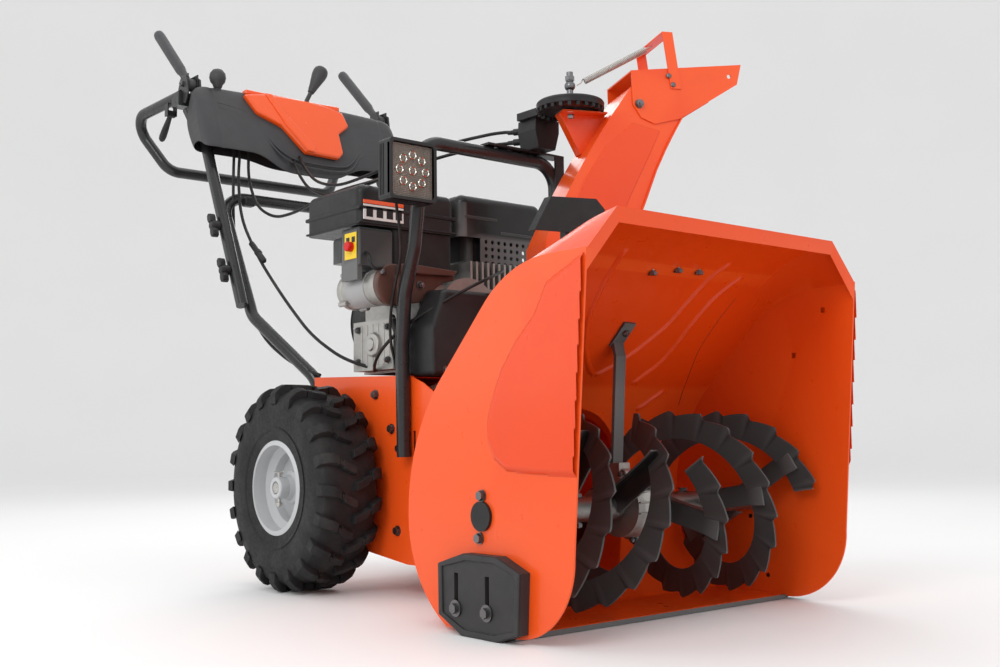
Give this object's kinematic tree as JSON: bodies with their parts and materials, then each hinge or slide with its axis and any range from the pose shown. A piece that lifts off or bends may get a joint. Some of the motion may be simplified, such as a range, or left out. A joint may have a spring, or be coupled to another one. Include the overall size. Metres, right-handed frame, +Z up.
{
  "type": "snow blower",
  "caption": "Two-stage walk-behind snow blower with toothed auger, turning chute, engine, lug tyres, lamp and control console.",
  "frame": {"origin": "bottom centre of the overall box, on the ground; the machine's middle plane is 38 mm to the operator's right of it, because the chute points left", "axes": "+X to the operator's left, -Y forward towards the auger, +Z up"},
  "size_m": [0.7356, 1.5127, 1.2247],
  "materials": {
    "orange_paint": "gloss powder coat",
    "orange_plastic": "gloss moulded",
    "black_steel": "satin black",
    "black_tube": "satin black powder coat",
    "black_plastic": "fine texture",
    "shoe_plastic": "fine texture",
    "grey_plastic": "fine texture",
    "bare_steel": "machined",
    "zinc_bolts": "zinc plated",
    "cast_aluminium": "as cast",
    "silver_rim": "silver paint",
    "tyre": "matte",
    "rubber": "matte",
    "red_plastic": "gloss",
    "lamp_black": "satin",
    "lamp_glow": "metallised reflector",
    "cable_black": "matte sheath"
  },
  "bodies": {
    "machine": {"housing_wrap": "orange_paint", "side_plate_left": "orange_paint", "side_plate_right": "orange_paint", "impeller_housing": "orange_paint", "scraper_bar": "black_steel", "auger_bearings": "black_plastic", "gearbox": "cast_aluminium", "gearbox_strut": "black_steel", "tractor_frame": "orange_paint", "drive_belts": "rubber", "belt_cover": "black_plastic", "engine_block": "cast_aluminium", "fuel_tank": "black_plastic", "muffler": "black_steel", "heater_box": "black_steel", "recoil_housing": "black_plastic", "electric_starter": "cast_aluminium", "rotator_head": "black_plastic", "lamp_hoop": "black_tube", "lower_handle": "black_tube", "upper_handle": "black_tube", "wing_knobs": "black_plastic", "loop_handle": "black_tube", "console": "grey_plastic", "console_insert": "orange_plastic", "clean_out_tool": "black_plastic", "fasteners": "zinc_bolts", "control_cables": "cable_black"},
    "shoe_left": {"skid_shoe_left": "shoe_plastic"},
    "shoe_right": {"skid_shoe_right": "shoe_plastic"},
    "auger": {"auger_shaft": "bare_steel", "auger_left": "black_steel", "auger_right": "black_steel", "shear_bolts": "zinc_bolts"},
    "impeller": {"impeller": "orange_paint", "impeller_shaft": "bare_steel"},
    "friction_disc": {"drive_disc": "bare_steel"},
    "hex_drive": {"hex_shaft": "bare_steel"},
    "friction_wheel": {"friction_wheel": "rubber"},
    "wheels": {"axle": "bare_steel", "tyre_left": "tyre", "tyre_right": "tyre", "rim_left": "silver_rim", "rim_right": "silver_rim"},
    "crank": {"engine_shaft": "bare_steel"},
    "fuel_cap": {"fuel_cap": "black_plastic"},
    "ignition_key": {"ignition_key": "red_plastic"},
    "chute": {"chute": "orange_paint", "chute_hardware": "zinc_bolts", "deflector_spring": "bare_steel"},
    "deflector": {"deflector": "orange_paint"},
    "lamp": {"lamp_housing": "lamp_black", "lamp_lens": "lamp_glow"},
    "lever_left": {"lever_left": "grey_plastic"},
    "lever_right": {"lever_right": "grey_plastic"},
    "trigger_left": {"trigger_left": "black_plastic"},
    "trigger_right": {"trigger_right": "black_plastic"},
    "speed_lever": {"speed_lever": "grey_plastic"},
    "joystick_collar": {"joystick_collar": "black_plastic"},
    "joystick": {"chute_joystick": "grey_plastic"}
  },
  "joints": [
    {"name": "shoe_left_drop", "type": "slide", "parent": "machine", "child": "shoe_left", "axis": [0, 0, 1], "range_m": [-0.045, 0]},
    {"name": "shoe_right_drop", "type": "slide", "parent": "machine", "child": "shoe_right", "axis": [0, 0, 1], "range_m": [-0.045, 0]},
    {"name": "impeller_turn", "type": "hinge", "parent": "machine", "child": "impeller", "pos_m": [-0.03832, -0.341, 0.167], "axis": [0, 1, 0], "continuous": true},
    {"name": "auger_turn", "type": "hinge", "parent": "machine", "child": "auger", "pos_m": [-0.03832, -0.541, 0.167], "axis": [1, 0, 0], "continuous": true},
    {"name": "crank_turn", "type": "hinge", "parent": "machine", "child": "crank", "pos_m": [-0.03832, -0.141, 0.505], "axis": [0, 1, 0], "continuous": true},
    {"name": "disc_turn", "type": "hinge", "parent": "machine", "child": "friction_disc", "pos_m": [-0.03832, -0.071, 0.29], "axis": [0, 1, 0], "continuous": true},
    {"name": "wheel_turn", "type": "hinge", "parent": "machine", "child": "wheels", "pos_m": [-0.03832, 0.088, 0.19], "axis": [1, 0, 0], "continuous": true},
    {"name": "hex_turn", "type": "hinge", "parent": "machine", "child": "hex_drive", "pos_m": [-0.03832, -0.0026, 0.29], "axis": [1, 0, 0], "continuous": true},
    {"name": "friction_slide", "type": "slide", "parent": "hex_drive", "child": "friction_wheel", "axis": [1, 0, 0], "range_m": [-0.03, 0.12]},
    {"name": "chute_turn", "type": "hinge", "parent": "machine", "child": "chute", "pos_m": [0.05668, -0.316, 0.5], "axis": [0, 0, 1], "range_deg": [-165, 34]},
    {"name": "deflector_tilt", "type": "hinge", "parent": "chute", "child": "deflector", "pos_m": [0.15669, -0.36179, 0.873], "axis": [0.4163, 0.9092, 0], "range_deg": [0, 50], "stiffness_Nm_per_rad": 1.2, "springref_deg": -45.84},
    {"name": "lamp_tilt", "type": "hinge", "parent": "machine", "child": "lamp", "pos_m": [-0.24932, -0.208, 0.729], "axis": [1, 0, 0], "range_deg": [-6, 6]},
    {"name": "lever_left_press", "type": "hinge", "parent": "machine", "child": "lever_left", "pos_m": [0.21168, 0.529, 1.057], "axis": [1, 0, 0], "range_deg": [-30, 0], "stiffness_Nm_per_rad": 1.5, "springref_deg": 17.19},
    {"name": "lever_right_press", "type": "hinge", "parent": "machine", "child": "lever_right", "pos_m": [-0.28832, 0.529, 1.057], "axis": [1, 0, 0], "range_deg": [-30, 0], "stiffness_Nm_per_rad": 1.5, "springref_deg": 17.19},
    {"name": "trigger_left_pull", "type": "hinge", "parent": "machine", "child": "trigger_left", "pos_m": [0.22968, 0.587, 1.002], "axis": [1, 0, 0], "range_deg": [0, 25], "stiffness_Nm_per_rad": 0.2, "springref_deg": -22.92},
    {"name": "trigger_right_pull", "type": "hinge", "parent": "machine", "child": "trigger_right", "pos_m": [-0.30632, 0.587, 1.002], "axis": [1, 0, 0], "range_deg": [0, 25], "stiffness_Nm_per_rad": 0.2, "springref_deg": -22.92},
    {"name": "speed_select", "type": "hinge", "parent": "machine", "child": "speed_lever", "pos_m": [-0.23932, 0.496, 0.962], "axis": [0, 1, 0], "range_deg": [-4, 16]},
    {"name": "joystick_aim", "type": "hinge", "parent": "machine", "child": "joystick_collar", "pos_m": [-0.02232, 0.496, 1.032], "axis": [1, 0, 0], "range_deg": [-18, 12]},
    {"name": "joystick_swing", "type": "hinge", "parent": "joystick_collar", "child": "joystick", "pos_m": [-0.02232, 0.496, 1.046], "axis": [0, 1, 0], "range_deg": [-60, 13]},
    {"name": "key_pull", "type": "slide", "parent": "machine", "child": "ignition_key", "axis": [-1, 0, 0], "range_m": [0, 0.008]},
    {"name": "fuel_cap_turn", "type": "hinge", "parent": "machine", "child": "fuel_cap", "pos_m": [-0.09832, 0.019, 0.748], "axis": [0, 0, 1], "range_deg": [0, 90]}
  ],
  "couplings": [
    {"joint": "auger_turn", "follows": "impeller_turn", "ratio": 0.1},
    {"joint": "hex_turn", "follows": "wheel_turn", "ratio": -1.3256}
  ]
}
